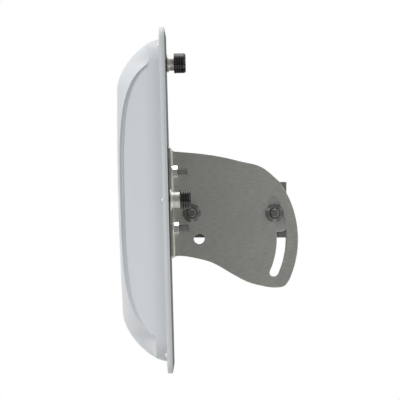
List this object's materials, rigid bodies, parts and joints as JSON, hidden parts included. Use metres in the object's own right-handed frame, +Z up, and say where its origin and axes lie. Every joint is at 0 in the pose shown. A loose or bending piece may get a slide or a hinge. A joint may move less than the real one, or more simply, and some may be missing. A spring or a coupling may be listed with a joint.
{
  "type": "outdoor wireless bridge",
  "caption": "Square outdoor flat-panel radio with a domed radome, capped coaxial jacks on its back and a tilting plate bracket with a V-jaw mast clamp.",
  "frame": {"origin": "middle of the mast passage, level with the two tilt bolts", "axes": "+Z up along the mast, the panel faces -X, +Y completes the set along the tilt bolts"},
  "size_m": [0.1713, 0.32, 0.32],
  "materials": {
    "radome": "satin light grey moulding",
    "back_plate": "grey powder coat",
    "rubber": "moulded black rubber",
    "screw_steel": "plain stainless",
    "bolt_steel": "turned and rolled stainless",
    "copper_board": "tinned copper on laminate",
    "green_board": "solder mask",
    "black_plastic": "fine moulded grain",
    "white_plastic": "natural fluoropolymer",
    "tin_plate": "tinned sheet",
    "brass": "turned, gold flashed",
    "nickel": "nickel plate",
    "stainless_plate": "brushed along the plate",
    "strap_steel": "zinc plate",
    "cast_jaw": "dark cast finish"
  },
  "bodies": {
    "clamp": {"side_strap_near": "strap_steel", "side_strap_far": "strap_steel", "front_jaw": "cast_jaw", "pivot_bolt": "bolt_steel", "pivot_nut": "bolt_steel", "lock_bolt": "bolt_steel", "lock_nut": "bolt_steel"},
    "rear_clamp": {"rear_jaw": "cast_jaw", "clamp_screw_1": "bolt_steel", "clamp_screw_2": "bolt_steel", "clamp_screw_3": "bolt_steel", "clamp_screw_4": "bolt_steel"},
    "panel": {"radome": "radome", "perimeter_seal": "rubber", "back_plate": "back_plate", "rim_screw_1": "screw_steel", "rim_screw_2": "screw_steel", "rim_screw_3": "screw_steel", "rim_screw_4": "screw_steel", "rim_screw_5": "screw_steel", "rim_screw_6": "screw_steel", "rim_screw_7": "screw_steel", "rim_screw_8": "screw_steel", "array_board": "copper_board", "radio_board": "green_board", "processor": "black_plastic", "heat_pad": "white_plastic", "radio_shield": "tin_plate", "power_magnetics": "black_plastic", "top_jack": "nickel", "top_jack_nut": "nickel", "top_jack_seal": "rubber", "top_jack_insulator": "white_plastic", "top_jack_contact": "brass", "top_pigtail": "black_plastic", "side_jack": "nickel", "side_jack_nut": "nickel", "side_jack_seal": "rubber", "side_jack_insulator": "white_plastic", "side_jack_contact": "brass", "side_pigtail": "black_plastic", "data_port": "black_plastic", "data_port_nut": "nickel", "data_port_seal": "rubber", "data_socket": "black_plastic", "mounting_stud_1": "bolt_steel", "mounting_stud_2": "bolt_steel", "mounting_stud_3": "bolt_steel", "mounting_stud_4": "bolt_steel", "stud_nut_1": "bolt_steel", "stud_nut_2": "bolt_steel", "stud_nut_3": "bolt_steel", "stud_nut_4": "bolt_steel", "tilt_plate_near": "stainless_plate", "tilt_plate_far": "stainless_plate"},
    "top_cap_body": {"top_cap": "rubber"},
    "side_cap_body": {"side_cap": "rubber"},
    "data_cap_body": {"data_port_cap": "black_plastic"}
  },
  "joints": [
    {"name": "tilt", "type": "hinge", "parent": "clamp", "child": "panel", "pos_m": [-0.036, 0, 0], "axis": [0, 1, 0], "range_deg": [-2.7, 7.9]},
    {"name": "jaw_slide", "type": "slide", "parent": "clamp", "child": "rear_clamp", "axis": [1, 0, 0], "range_m": [-0.005, 0.003]},
    {"name": "top_cap_slide", "type": "slide", "parent": "panel", "child": "top_cap_body", "axis": [0.9997, 0, 0.0262], "range_m": [0, 0.03]},
    {"name": "side_cap_slide", "type": "slide", "parent": "panel", "child": "side_cap_body", "axis": [0.9997, 0, 0.0262], "range_m": [0, 0.03]},
    {"name": "data_cap_slide", "type": "slide", "parent": "panel", "child": "data_cap_body", "axis": [0.9997, 0, 0.0262], "range_m": [0, 0.03]}
  ]
}
